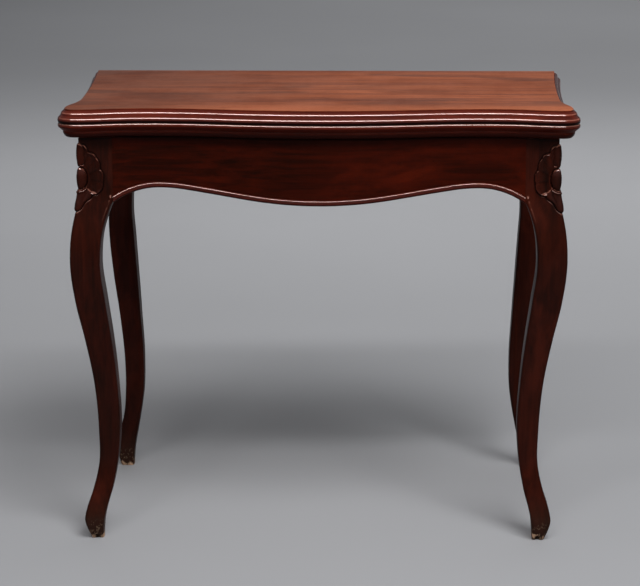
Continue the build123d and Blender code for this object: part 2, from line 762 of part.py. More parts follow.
# Legs
def leg(name, side, end, face_x, face_y, block, leg_break, shares, block_hollow):
    """A cabriole leg: rounded square sections that swing along the corner's diagonal, under a square block."""
    break_z = frame_top - leg_break

    def section(height, outer, inner, hollow, radius):
        near_x = face_x + outer * block
        near_y = face_y + outer * block
        far_x = face_x - inner * block
        far_y = face_y - inner * block
        corners = [
            (side * near_x, end * near_y),
            (side * far_x, end * (near_y - hollow * block_hollow)),
            (side * far_x, end * far_y),
            (side * (near_x - hollow * block_hollow), end * far_y),
        ]
        with BuildSketch(Plane.XY.offset(break_z * height)) as outline:
            Polygon(*corners, align=None)
            fillet(outline.vertices(), radius)
        return outline.sketch

    with BuildPart() as piece:
        curve = [section(*share, leg_round) for share in shares]
        top = section(1, 0, 1, 1, leg_block_round)
        loft(sections=[*curve, top])
        extrude(to_extrude=top, amount=leg_break)
        deep = tenon_length + tenon_fit
        wide = tenon_thick + tenon_fit * 2
        tall = tenon_height + tenon_fit * 2
        joint_x = face_x - block
        joint_y = face_y - block
        across_y = front_tenon_y if end < 0 else back_tenon_y
        with Locations((side * (joint_x + deep / 2), across_y, tenon_mid)):
            Box(deep, wide, tall, mode=Mode.SUBTRACT)
        with Locations((side * side_tenon_x, end * (joint_y + deep / 2), tenon_mid)):
            Box(wide, deep, tall, mode=Mode.SUBTRACT)
    save(piece, name)


for side, hand in ((-1, "left"), (1, "right")):
    leg(
        f"front_{hand}_leg",
        side,
        -1,
        front_leg_face_x,
        -front_leg_face_y,
        front_leg_block,
        front_leg_break,
        front_leg_shares,
        leg_face_hollow,
    )
    leg(
        f"rear_{hand}_leg",
        side,
        1,
        rear_leg_face_x,
        back_leg_face_y,
        rear_leg_block,
        rear_leg_break,
        rear_leg_shares,
        0,
    )
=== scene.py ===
"""Looks of a folding card table: wood, baize and metal finishes, carved cabriole legs, a pale studio."""

import math
from typing import NamedTuple

import bmesh
import bpy
import numpy as np
from bpy.props import FloatProperty, FloatVectorProperty, PointerProperty
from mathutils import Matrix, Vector


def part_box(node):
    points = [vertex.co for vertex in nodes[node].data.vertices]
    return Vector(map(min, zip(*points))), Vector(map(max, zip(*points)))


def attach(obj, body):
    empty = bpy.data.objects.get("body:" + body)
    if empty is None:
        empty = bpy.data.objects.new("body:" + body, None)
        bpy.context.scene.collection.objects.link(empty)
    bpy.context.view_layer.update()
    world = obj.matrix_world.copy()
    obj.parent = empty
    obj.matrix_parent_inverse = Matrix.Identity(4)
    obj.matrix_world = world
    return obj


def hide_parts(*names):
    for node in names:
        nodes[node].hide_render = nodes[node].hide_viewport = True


bl_info = {
    "name": "Folding card table",
    "version": (1, 0, 0),
    "blender": (4, 5, 0),
    "location": "View3D > Sidebar > Card table",
    "description": "Builds the finished pieces of a folding card table and the studio round it",
    "category": "Object",
}

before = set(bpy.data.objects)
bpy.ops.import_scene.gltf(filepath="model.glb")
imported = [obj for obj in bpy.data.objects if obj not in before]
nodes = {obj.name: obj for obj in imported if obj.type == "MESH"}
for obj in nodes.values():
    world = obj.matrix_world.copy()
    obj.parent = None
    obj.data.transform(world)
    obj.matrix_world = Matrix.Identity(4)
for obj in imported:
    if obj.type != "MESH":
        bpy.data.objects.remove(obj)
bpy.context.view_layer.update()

MM = 0.001
FRAME_BODY = "frame"
LOWER_BODY = "lower_leaf_body"
UPPER_BODY = "upper_leaf_body"


# Settings
def rgb(red, green, blue):
    """Linear colour of a screen colour given from 0 to 255."""
    return tuple(((c / 255 + 0.055) / 1.055) ** 2.4 if c > 10 else c / 3294.6 for c in (red, green, blue))


def colour(name, words, value):
    """A colour setting."""
    return FloatVectorProperty(
        name=name, description=words, subtype="COLOR", size=3, min=0, max=1, default=value
    )


def length(name, words, value):
    """A length setting, in metres."""
    return FloatProperty(name=name, description=words, unit="LENGTH", default=value)


def angle(name, words, value):
    """An angle setting, in radians."""
    return FloatProperty(name=name, description=words, subtype="ANGLE", default=value)


def power(name, words, value):
    """A setting for a light's strength, in watts."""
    return FloatProperty(name=name, description=words, unit="POWER", default=value)


def share_of_one(name, words, value):
    """A setting from 0 to 1."""
    return FloatProperty(name=name, description=words, subtype="FACTOR", min=0, max=1, default=value)


class StudioSettings(bpy.types.PropertyGroup):
    eye: FloatVectorProperty(
        name="Camera place",
        description="Where the camera stands",
        subtype="XYZ",
        default=(0.1178, -3.785, 1.3265),
    )
    tilt: angle("Camera tilt", "Downward tilt", 0.2444)
    turn: angle("Camera turn", "Turn to the left", 0.0149)
    lens: FloatProperty(name="Lens", description="Focal length in mm on a 36 mm sensor", default=125.57)
    shift: FloatProperty(name="Shift", description="Sideways shift of the frame", default=-0.0597)
    floor_colour: colour("Floor", "Colour of the studio floor", rgb(176, 177, 180))
    overhead: power("Back light", "Strength of the large soft light behind", 49.0)
    far: power("Far light", "Strength of the soft lights far round the table", 90.0)
    fill: power("Key light", "Strength of the soft light in front", 94.0)
    strip: power("Front light", "Strength of the long light over the camera", 110.0)
    gleam: power("Gleam", "Strength of the strip that polished edges reflect", 335.0)
    warmth: colour("Gleam colour", "Colour of the strip that polished edges reflect", (1.0, 0.8, 0.76))
    air_colour: colour("Room", "Colour of the even light of the room", rgb(205, 207, 212))
    air: share_of_one("Room light", "Strength of the even light of the room", 0.17)


class WoodSettings(bpy.types.PropertyGroup):
    faded: colour("Faded top", "Light tone of the sun-faded top", rgb(186, 105, 69))
    faded_deep: colour("Faded top, dark grain", "Dark grain of the faded top", rgb(140, 80, 59))
    stained: colour("Stains", "Brown stains in the faded top", rgb(116, 74, 60))
    polished: colour("Polished", "Light tone of the polished mahogany", rgb(66, 16, 5))
    polished_deep: colour("Polished, dark grain", "Dark grain of the polished mahogany", rgb(22, 7, 3))
    # The moulded edges' tones are the polished mahogany painted lighter, as if lit from above
    edge: colour("Moulded edge", "Light tone of the moulded edges, lit through thin polish", rgb(116, 38, 20))
    edge_deep: colour("Moulded edge, dark grain", "Dark grain of the moulded edges", rgb(66, 18, 9))
    leg: colour("Leg", "Light tone of the legs", rgb(58, 20, 11))
    leg_deep: colour("Leg, dark grain", "Dark grain of the legs", rgb(27, 11, 7))
    # The rubbed edge colour and its share paint a highlight on crests that face outwards and up
    rubbed: colour("Rubbed edge", "Proud edges where the polish is rubbed thin", rgb(214, 140, 118))
    crest_highlight_share: share_of_one("Rubbing", "How far the proud edges are rubbed", 0.34)
    bare: colour("Bare wood", "Wood where the polish has worn away", rgb(200, 164, 134))
    secondary: colour("Secondary timber", "Unpolished timber of the hidden pieces", rgb(150, 110, 72))
    secondary_deep: colour("Secondary timber, dark grain", "Its dark grain", rgb(104, 70, 42))


class ClothSettings(bpy.types.PropertyGroup):
    green: colour("Baize", "Colour of the baize", rgb(46, 86, 52))
    green_deep: colour("Baize, worn", "Colour of the baize where it has darkened", rgb(24, 50, 31))


class MetalSettings(bpy.types.PropertyGroup):
    brass: colour("Brass", "Colour of the hinges", rgb(196, 158, 92))
    brass_deep: colour("Tarnish", "Colour of tarnished brass", rgb(92, 66, 34))
    iron: colour("Iron", "Colour of the pivot's iron", rgb(72, 68, 64))
    rust: colour("Rust", "Colour of rust on the iron", rgb(98, 60, 40))


class LegSettings(bpy.types.PropertyGroup):
    relief: share_of_one("Relief", "Depth of the knee carving, as a share", 1.0)
    fine_step: length("Carving step", "Spacing of rings on the carved knee", 0.6 * MM)
    coarse_step: length("Leg step", "Spacing of rings on the plain leg", 5 * MM)
    edge_round: length("Edge", "Rounding of the leg's long edges", 5.5 * MM)
    block_round: length("Block edge", "Rounding of the square block's edges", 1.2 * MM)
    front_block: length("Front block", "Width of the front legs' square block", 54.5 * MM)
    rear_block: length("Rear block", "Width of the rear legs' square block", 48 * MM)
    front_break: length("Front break", "Height of the front legs' block", 104 * MM)
    rear_break: length("Rear break", "Height of the rear legs' block", 96 * MM)
    hollow: length("Hollow", "How far the front block's faces fall back towards the rails", 10.4 * MM)
    lean: length("Lean", "How far the front feet have settled to the left", 5.0 * MM)


# Node trees
def put(tree, kind, inputs=None, **settings):
    """A node of this kind, with its settings and with values or sockets on its inputs."""
    made = tree.nodes.new(kind)
    for name, value in settings.items():
        setattr(made, name, value)
    for key, value in (inputs or {}).items():
        if isinstance(value, bpy.types.NodeSocket):
            tree.links.new(value, made.inputs[key])
        else:
            made.inputs[key].default_value = value
    return made


def math_node(tree, operation, first, second, clamp=False):
    """The result of one sum."""
    return put(tree, "ShaderNodeMath", {0: first, 1: second}, operation=operation, use_clamp=clamp).outputs[0]


def times(tree, first, *others):
    """The product of values or sockets."""
    for other in others:
        first = math_node(tree, "MULTIPLY", first, other)
    return first


def plus(tree, first, *others):
    """The sum of values or sockets."""
    for other in others:
        first = math_node(tree, "ADD", first, other)
    return first


def minus(tree, first, second):
    """The difference of two values or sockets."""
    return math_node(tree, "SUBTRACT", first, second)


def blend_colours(tree, factor, first, second):
    """The first colour where factor is 0 and the second where it is 1."""
    first = (*first, 1) if isinstance(first, tuple) else first
    second = (*second, 1) if isinstance(second, tuple) else second
    return put(tree, "ShaderNodeMix", {0: factor, 6: first, 7: second}, data_type="RGBA").outputs[2]


def band(tree, value, low, high, start=0.0, end=1.0):
    """A smooth change from start to end while value goes from low to high."""
    stops = {"Value": value, "From Min": low, "From Max": high, "To Min": start, "To Max": end}
    return put(tree, "ShaderNodeMapRange", stops, interpolation_type="SMOOTHSTEP").outputs[0]


def placed(tree, scale):
    """Object coordinates stretched by scale."""
    here = put(tree, "ShaderNodeTexCoord").outputs["Object"]
    return put(tree, "ShaderNodeMapping", {"Vector": here, "Scale": scale}).outputs[0]


def noise(tree, scale, detail, rough, distortion=0.0):
    """Cloudy noise with this many waves to the metre along each axis."""
    inputs = {"Vector": placed(tree, scale), "Scale": 1.0, "Detail": detail, "Roughness": rough}
    return put(tree, "ShaderNodeTexNoise", {**inputs, "Distortion": distortion}).outputs[0]


def bump(tree, height, strength, distance):
    """A normal that follows a height pattern."""
    inputs = {"Strength": strength, "Distance": distance, "Height": height}
    return put(tree, "ShaderNodeBump", inputs).outputs[0]


def new_finish(name):
    """A material with its tree and its shader."""
    made = bpy.data.materials.new(name)
    made.use_nodes = True
    return made, made.node_tree, made.node_tree.nodes["Principled BSDF"]


def scaled(tone, share):
    """A colour made darker or lighter."""
    return tuple(c * share for c in tone)


# Wood, in metres: where on the table its tones change, over what height, and how deep its grain is
LEFT_END = (-0.42, 0.12)
FRONT_EDGE = (-0.2, -0.13)
FRONT_FROM = (-0.3, -0.1)
# Heights over which the painted sheen on the knee rises and falls
KNEE_SHEEN_RISE = (0.48, 0.54)
KNEE_SHEEN_FALL = (0.545, 0.58)
FADE_EDGE = 1.2 * MM
# Height over which the painted crest highlight fades in
HIGHLIGHT_EDGE = 20 * MM
GRAIN_RELIEF = 0.4 * MM
# A coat above this is thick polish, which gathers on edges that face up; such wood also gets painted shade on
# its sides that face down
THICK_POLISH = 0.5
# The recess attribute goes from minus this on the bud's crown to 1 in hollows
CROWN = 1.7


class WoodFinish:
    """A wood material built up in layers, from its grain to its polish. Patterns follow the grain's axis."""

    def __init__(self, name, axis, light, deep, rough, coat):
        self.material, self.tree, self.shader = new_finish(name)
        self.axis, self.light, self.deep = axis, light, deep
        self.roughness, self.varnish = rough, coat
        coords = put(self.tree, "ShaderNodeTexCoord").outputs
        self.place = put(self.tree, "ShaderNodeSeparateXYZ", {0: coords["Object"]}).outputs
        self.height = self.place["Z"]
        self.facing = put(self.tree, "ShaderNodeSeparateXYZ", {0: coords["Normal"]}).outputs["Z"]
        self.flat = self.band(math_node(self.tree, "ABSOLUTE", self.facing, 0), 0.9, 0.97)
        self.side = minus(self.tree, 1.0, self.flat)
        figure = self.grain(1.6, 15, 4, 0.6, 0.8)
        self.lines = self.grain(5, 150, 6, 0.62, 0.35)
        self.pits = self.band(self.grain(55, 1500, 2, 0.5), 0.60, 0.70)
        mixed = plus(self.tree, self.times(figure, 0.5), self.times(self.lines, 0.5))
        self.tone = self.band(mixed, 0.3, 0.72)
        self.base = blend_colours(self.tree, self.tone, deep, light)

    def grain(self, run, across, detail, rough, distortion=0.0):
        """Noise with so many waves to the metre along the grain and across it."""
        scale = tuple(run if letter == self.axis else across for letter in "XYZ")
        return noise(self.tree, scale, detail, rough, distortion)

    def band(self, *stops):
        """A smooth change in this finish."""
        return band(self.tree, *stops)

    def times(self, *factors):
        """A product in this finish."""
        return times(self.tree, *factors)

    def tint(self, share, tone):
        """Lays a colour over what is there."""
        self.base = blend_colours(self.tree, share, self.base, tone)

    def paint_shade_under(self, top, reach):
        """Warm patches, and painted shade close under the table's top."""
        patches = self.grain(5, 16, 4, 0.6, 0.4)
        self.tint(self.band(patches, 0.5, 0.66, 0.0, 0.6), scaled(self.light, 1.5))
        # Painted shade of the top's overhang, darkest close under it
        depth = minus(self.tree, top, self.height)
        self.tint(self.band(depth, reach * 0.25, reach, 0.75, 0.0), scaled(self.deep, 0.3))

    def fade_above(self, level, light, deep, stain):
        """Sun-faded wood above a level: streaks, stains, a darker left end and a brighter front."""
        tree = self.tree
        streaks = self.grain(1.1, 48, 5, 0.62, 0.5)
        stains = self.grain(3.2, 11, 4, 0.6, 0.6)
        dashes = self.grain(13, 210, 3, 0.6)
        top = blend_colours(tree, self.band(streaks, 0.36, 0.64), deep, light)
        top = blend_colours(tree, self.band(stains, 0.48, 0.64, 0, 0.8), top, stain)
        top = blend_colours(tree, self.band(dashes, 0.6, 0.68, 0.0, 0.55), top, scaled(stain, 0.55))
        left_end = self.band(self.place["X"], *LEFT_END, 0.95, 0.0)
        left_end = self.times(left_end, self.band(stains, 0.3, 0.6, 0.55, 1.0))
        top = blend_colours(tree, left_end, top, scaled(stain, 0.8))
        front = self.band(self.place["Y"], *FRONT_EDGE, 0.75, 0.0)
        front = self.times(front, self.band(self.place["X"], *FRONT_FROM))
        top = blend_colours(tree, front, top, scaled(light, 1.18))
        top = blend_colours(tree, self.band(self.tone, 0, 1, 0.0, 0.35), top, light)
        self.tint(self.band(self.height, level - FADE_EDGE, level), top)

    def polish_edges(self):
        """Thick polish on sides that face up, thin on flat faces, none below, and painted shade on the sides
        that face down.
        """
        upward = self.times(self.band(self.facing, -0.15, 0.3, 0.0, self.varnish), self.side)
        self.varnish = plus(self.tree, upward, self.times(self.flat, self.varnish * 0.12))
        # Painted shade on the sides that face down, away from the lights
        painted_shade_below = self.times(self.band(self.facing, -0.4, 0.1, 0.7, 0.0), self.side)
        self.tint(painted_shade_below, scaled(self.deep, 0.5))

    def open_pores(self):
        """Dark pores, and patches that have gone dull."""
        self.tint(self.times(self.pits, 0.45), scaled(self.deep, 0.35))
        dull = self.band(noise(self.tree, (7, 7, 7), 4, 0.6), 0.35, 0.7)
        self.tint(self.times(dull, 0.3), scaled(self.light, 0.5))
        self.roughness = plus(self.tree, self.times(dull, 0.14), self.roughness, self.times(self.pits, 0.2))

    def paint_shade_near(self, level, reach, share):
        """Painted shade on the sides, near a level."""
        away = math_node(self.tree, "ABSOLUTE", minus(self.tree, self.height, level), 0)
        shade_share = self.times(self.band(away, reach * 0.4, reach, share, 0.0), self.side)
        self.tint(shade_share, scaled(self.deep, 0.12))

    def paint_crest_highlight(self, paler, share, lowest):
        """Painted highlight on crests that face outwards and up, above a height, broken into streaks."""
        highlight_facing = self.times(self.band(self.facing, 0.34, 0.46), self.band(self.facing, 0.56, 0.68, 1.0, 0.0))
        thin = self.band(self.grain(5, 60, 4, 0.6), 0.3, 0.6, 0.55, 1.0)
        thin = self.times(thin, self.band(self.height, lowest, lowest + HIGHLIGHT_EDGE))
        self.tint(self.times(highlight_facing, thin, share), paler)

    def wear_foot(self, bare, height):
        """Darker towards the floor, flecks above a worn foot, and chips down to the bare wood below that
        height.
        """
        tree = self.tree
        # Darker towards the floor, up to five times the worn height
        self.tint(self.band(self.height, height * 0.5, height * 5, 0.45, 0.0), scaled(bare, 0.055))
        flecks = self.band(noise(tree, (240, 240, 170), 3, 0.6), 0.56, 0.64)
        flecks = self.times(flecks, self.band(self.height, height, height * 2.4, 0.85, 0.0))
        self.tint(flecks, scaled(bare, 0.3))
        chips = noise(tree, (75, 75, 60), 5, 0.65)
        rise = math_node(tree, "DIVIDE", self.height, height)
        gone = self.band(minus(tree, rise, self.times(chips, 3.4)), -1.5, -1.25, 1.0, 0.0)
        self.tint(gone, blend_colours(tree, self.band(chips, 0.4, 0.7), scaled(bare, 0.15), bare))
        self.roughness = math_node(tree, "ADD", self.roughness, self.times(gone, 0.4), True)

    def tone_carving(self):
        """Painted shade in hollows and a painted highlight on upward crests, by the piece's recess attribute,
        with thicker polish on the crests, over a painted sheen on the knee.
        """
        knee = self.times(self.band(self.height, *KNEE_SHEEN_RISE), self.band(self.height, *KNEE_SHEEN_FALL, 1.0, 0.0))
        # Painted sheen on the knee
        self.tint(self.times(knee, 0.1), scaled(self.light, 1.7))
        recess = put(self.tree, "ShaderNodeAttribute", attribute_name="recess").outputs["Fac"]
        # Painted shade in the hollows
        self.tint(self.band(recess, 0.0, 1.0, 0.0, 0.9), scaled(self.deep, 0.2))
        proud = self.times(self.band(recess, -CROWN, -0.2, 1.0, 0.0), self.band(self.facing, -0.05, 0.25))
        # Painted highlight on the crests
        self.tint(self.times(proud, 0.25), scaled(self.light, 1.8))
        self.varnish = plus(self.tree, proud, self.varnish)

    def close(self, gloss, shine):
        """Joins the layers to the shader, with the grain's relief in the polish."""
        ripple = self.grain(9, 34, 3, 0.5)
        pores, fibres = self.times(self.pits, -0.5), self.times(self.lines, 0.25)
        relief = plus(self.tree, pores, fibres, self.times(ripple, 0.8))
        inputs = self.shader.inputs
        self.tree.links.new(self.base, inputs["Base Color"])
        self.tree.links.new(self.roughness, inputs["Roughness"])
        self.tree.links.new(bump(self.tree, relief, gloss, GRAIN_RELIEF), inputs["Normal"])
        inputs["Specular IOR Level"].default_value = shine
        if isinstance(self.varnish, float):
            inputs["Coat Weight"].default_value = self.varnish
        else:
            self.tree.links.new(self.varnish, inputs["Coat Weight"])
        inputs["Coat IOR"].default_value = 1.6
        inputs["Coat Roughness"].default_value = 0.13


def finish_wood(
    name, axis, light, deep, gloss=0.5, faded=None, worn=None, rubbed=None, shade_bands=(), under=None,
    carved=False, rough=0.34, coat=0.12, shine=0.05,
):
    """Polished or bare wood, its grain along the axis.
    faded is (level, light, deep, stain): above that level the wood is those tones, with brown stains.
    worn is (colour, height): the polish has gone in patches near the floor, up to that height.
    rubbed is (colour, share, lowest): crests that face outwards and up, above that height, get a painted
    highlight.
    shade_bands has (level, reach, share) entries: sides near that level get painted shade.
    under is (top, reach): below that height, for that reach, the wood gets painted shade.
    carved wood has painted shade in its recesses and a painted highlight on its crests, which the piece's
    recess attribute gives, and a painted sheen on its knee."""
    wood = WoodFinish(name, axis, light, deep, rough, coat)
    if under:
        wood.paint_shade_under(*under)
    if faded:
        wood.fade_above(*faded)
    if coat > THICK_POLISH:
        wood.polish_edges()
    wood.open_pores()
    for entry in shade_bands:
        wood.paint_shade_near(*entry)
    if rubbed:
        wood.paint_crest_highlight(*rubbed)
    if worn:
        wood.wear_foot(*worn)
    if carved:
        wood.tone_carving()
    wood.close(gloss, shine)
    return wood.material


# Cloth and metal, with the depth of the baize's nap and of the metal's pits
NAP_RELIEF, PIT_RELIEF = 0.5 * MM, 0.2 * MM


def finish_baize(name, light, deep):
    """Napped woven wool."""
    made, tree, shader = new_finish(name)
    weave = noise(tree, (900, 900, 900), 4, 0.7)
    pattern = {"Vector": placed(tree, (1, 1, 1)), "Scale": 260.0, "Distortion": 3.0, "Detail": 2.0}
    threads = put(tree, "ShaderNodeTexWave", pattern).outputs[1]
    fibre = plus(tree, times(tree, weave, 0.7), times(tree, threads, 0.3))
    base = blend_colours(tree, band(tree, fibre, 0.3, 0.7), deep, light)
    patches = band(tree, noise(tree, (6, 6, 6), 4, 0.6), 0.4, 0.75, 0.0, 0.22)
    tree.links.new(blend_colours(tree, patches, base, scaled(light, 1.5)), shader.inputs["Base Color"])
    tree.links.new(bump(tree, fibre, 0.6, NAP_RELIEF), shader.inputs["Normal"])
    shader.inputs["Roughness"].default_value = 0.95
    shader.inputs["Sheen Weight"].default_value = 0.5
    return made


def finish_metal(name, bright, dull, rough, metallic=1.0):
    """Aged metal: bright where it is handled, dull and pitted elsewhere."""
    made, tree, shader = new_finish(name)
    patches = noise(tree, (120, 120, 120), 5, 0.6)
    specks = noise(tree, (700, 700, 700), 3, 0.6)
    brushed = noise(tree, (60, 900, 900), 3, 0.6)
    age = band(tree, plus(tree, times(tree, patches, 0.7), times(tree, specks, 0.3)), 0.4, 0.62)
    tree.links.new(blend_colours(tree, age, bright, dull), shader.inputs["Base Color"])
    tree.links.new(plus(tree, times(tree, age, 0.25), rough), shader.inputs["Roughness"])
    tree.links.new(bump(tree, plus(tree, brushed, specks), 0.35, PIT_RELIEF), shader.inputs["Normal"])
    shader.inputs["Metallic"].default_value = metallic
    return made


# Pieces
def dress(names, material):
    """Gives CAD nodes a finish."""
    for name in names:
        piece = nodes[name]
        piece.data.materials.clear()
        piece.data.materials.append(material)


def finished(name, bm, material, body, replaced):
    """A new piece from a bmesh, with its finish, body and slot, put in place of the CAD nodes replaced, which
    it hides.
    """
    mesh = bpy.data.meshes.new(name)
    bmesh.ops.recalc_face_normals(bm, faces=bm.faces[:])
    for face in bm.faces:
        face.smooth = True
    bm.to_mesh(mesh)
    bm.free()
    mesh.materials.append(material)
    piece = bpy.data.objects.new(name, mesh)
    bpy.context.scene.collection.objects.link(piece)
    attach(piece, body)
    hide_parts(*replaced)
    return piece


# Stage, in metres
TABLE_HEART = (0.0, 0.0, 0.4)
FLOOR_HALF = 40
SENSOR_MM = 36
# Lights: place, aim and size
BACK_LIGHT = ((1.8, 2.9, 1.5), (1.8, 2.9, 0.0), (7.0, 2.2))
KEY_LIGHT = ((1.2, -2.1, 4.0), TABLE_HEART, (1.8, 1.5))
FRONT_LIGHT = ((0.4, -3.3, 3.9), TABLE_HEART, (4.6, 0.4))
GLEAM = ((-0.25, -3.3, 3.9), TABLE_HEART, (4.1, 0.9))
FAR_HEIGHT = 2.6
# Far lights: place on the floor, size, share of their strength
FAR_LIGHTS = (
    ((3.0, 7.5), (9.0, 4.0), 0.9),
    ((-8.0, 0.0), (4.0, 9.0), 0.8),
    ((8.0, 0.0), (4.0, 9.0), 0.8),
    ((0.0, -9.0), (9.0, 4.0), 0.8),
)


def soft_light(name, place, aim, size, strength, tint=None):
    """A soft light that the camera doesn't see. A plain one lights the table and isn't reflected in it. A
    tinted one is reflected in polish and lights nothing else."""
    lamp = bpy.data.lights.new(name, "AREA")
    lamp.shape = "RECTANGLE"
    lamp.size, lamp.size_y = size
    lamp.energy = strength
    lamp.color = tint or (1, 1, 1)
    holder = bpy.data.objects.new(name, lamp)
    holder.visible_camera = False
    holder.visible_diffuse = not tint
    holder.visible_glossy = bool(tint)
    holder.location = place
    holder.rotation_euler = (Vector(aim) - Vector(place)).to_track_quat("-Z", "Y").to_euler()
    bpy.context.scene.collection.objects.link(holder)


def pale_floor(pale):
    """The studio floor, very slightly cloudy."""
    bm = bmesh.new()
    bmesh.ops.create_grid(bm, x_segments=8, y_segments=8, size=FLOOR_HALF)
    mesh = bpy.data.meshes.new("studio_floor")
    bm.to_mesh(mesh)
    bm.free()
    made, tree, shader = new_finish("studio_floor")
    cloud = band(tree, noise(tree, (0.8, 0.8, 0.8), 3, 0.5), 0.3, 0.7)
    tree.links.new(blend_colours(tree, cloud, scaled(pale, 0.96), pale), shader.inputs["Base Color"])
    shader.inputs["Roughness"].default_value = 0.6
    mesh.materials.append(made)
    floor = bpy.data.objects.new("studio_floor", mesh)
    bpy.context.scene.collection.objects.link(floor)


def room(studio):
    """The even light of the room."""
    world = bpy.data.worlds.new("room")
    world.use_nodes = True
    backdrop = world.node_tree.nodes["Background"]
    backdrop.inputs["Color"].default_value = (*studio.air_colour, 1)
    backdrop.inputs["Strength"].default_value = studio.air
    return world


def camera(studio):
    """The camera, in front of the table and a little above it."""
    lens = bpy.data.cameras.new("camera")
    lens.sensor_width = SENSOR_MM
    lens.lens = studio.lens
    lens.shift_x = studio.shift
    holder = bpy.data.objects.new("camera", lens)
    holder.location = studio.eye
    holder.rotation_euler = (math.pi / 2 - studio.tilt, 0, studio.turn)
    bpy.context.scene.collection.objects.link(holder)
    return holder


class TABLE_OT_stage(bpy.types.Operator):
    """Lays the studio floor, hangs the soft lights and sets up the camera"""

    bl_idname = "table.stage"
    bl_label = "Studio"

    def execute(self, context):
        scene = context.scene
        studio = scene.table_studio
        pale_floor(tuple(studio.floor_colour))
        soft_light("back_light", *BACK_LIGHT, studio.overhead)
        for (x, y), size, share in FAR_LIGHTS:
            soft_light("far_light", (x, y, FAR_HEIGHT), (x, y, 0.0), size, studio.far * share)
        soft_light("key_light", *KEY_LIGHT, studio.fill)
        soft_light("front_light", *FRONT_LIGHT, studio.strip)
        soft_light("gleam", *GLEAM, studio.gleam, tuple(studio.warmth))
        scene.world = room(studio)
        scene.camera = camera(studio)
        scene.view_settings.view_transform = "Standard"
        return {"FINISHED"}


# Top, frame and legs: how far painted shade reaches from a level, and how dark it is
UPPER_JOINT_SHADE = (7 * MM, 0.97)
LOWER_JOINT_SHADE = (3.2 * MM, 0.97)
BOTTOM_EDGE_SHADE = (13 * MM, 0.7)
RAIL_SHADE = 22 * MM
LEG_SHADE = 30 * MM
# The rails' beads have this share of the moulded edges' tones, which are painted lighter as if lit from above
BEAD_SHARE = 0.55


class TABLE_OT_top(bpy.types.Operator):
    """Finishes the two leaves of the top and the tongue between them"""

    bl_idname = "table.top"
    bl_label = "Top"

    def execute(self, context):
        wood = context.scene.table_wood
        low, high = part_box("upper_leaf")
        # The leaves take the moulded edges' tones, painted lighter as if lit from above
        tones = (tuple(wood.edge), tuple(wood.edge_deep))
        # Painted highlight on the moulded crests
        rubbed = (tuple(wood.rubbed), wood.crest_highlight_share, 0.0)
        faded = (high.z, tuple(wood.faded), tuple(wood.faded_deep), tuple(wood.stained))
        # Painted shade in the joint under the upper leaf
        shade_bands = [(low.z, *UPPER_JOINT_SHADE)]
        upper = finish_wood("upper_leaf_wood", "X", *tones, faded=faded, rubbed=rubbed, shade_bands=shade_bands, coat=1.0)
        bottom, joint = (corner.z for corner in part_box("lower_leaf"))
        # Painted shade in the joint above the lower leaf and under its bottom edge
        shade_bands = [(joint, *LOWER_JOINT_SHADE), (bottom, *BOTTOM_EDGE_SHADE)]
        lower = finish_wood("lower_leaf_wood", "X", *tones, rubbed=rubbed, shade_bands=shade_bands, coat=1.0)
        dress(["upper_leaf"], upper)
        dress(["lower_leaf", "leaf_tongue"], lower)
        return {"FINISHED"}


class TABLE_OT_frame(bpy.types.Operator):
    """Finishes the rails, their beads and the hidden timber of the frame"""

    bl_idname = "table.frame"
    bl_label = "Rails and well"

    def execute(self, context):
        wood = context.scene.table_wood
        tones = (tuple(wood.polished), tuple(wood.polished_deep))
        # The rails get painted shade close under the top
        rail = {"under": (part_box("front_rail")[1].z, RAIL_SHADE), "coat": 0.02, "shine": 0.02}
        # The beads take a share of the moulded edges' painted-lighter tones
        darker = (scaled(wood.edge, BEAD_SHARE), scaled(wood.edge_deep, BEAD_SHARE))
        # Painted highlight on the beads' crests
        bead = {"rubbed": (tuple(wood.rubbed), wood.crest_highlight_share, 0.0), "coat": 1.0}
        dress(["front_rail"], finish_wood("rail_wood", "X", *tones, **rail))
        dress(["front_bead"], finish_wood("bead_wood", "X", *darker, **bead))
        dress(["left_side_rail", "right_side_rail"], finish_wood("side_rail_wood", "Y", *tones, **rail))
        dress(["left_side_bead", "right_side_bead"], finish_wood("side_bead_wood", "Y", *darker, **bead))
        tones = (tuple(wood.secondary), tuple(wood.secondary_deep))
        bare = {"gloss": 0.9, "rough": 0.62, "coat": 0.0, "shine": 0.3}
        well = ["well_floor", "well_ledgers", "well_divider"]
        plain = ["back_rail", "pivot_rail", "slide_strips", "stop_block", *well]
        dress(plain, finish_wood("secondary_wood", "X", *tones, **bare))
        dress(["glue_blocks", "stop_peg"], finish_wood("secondary_wood_upright", "Z", *tones, **bare))
        return {"FINISHED"}


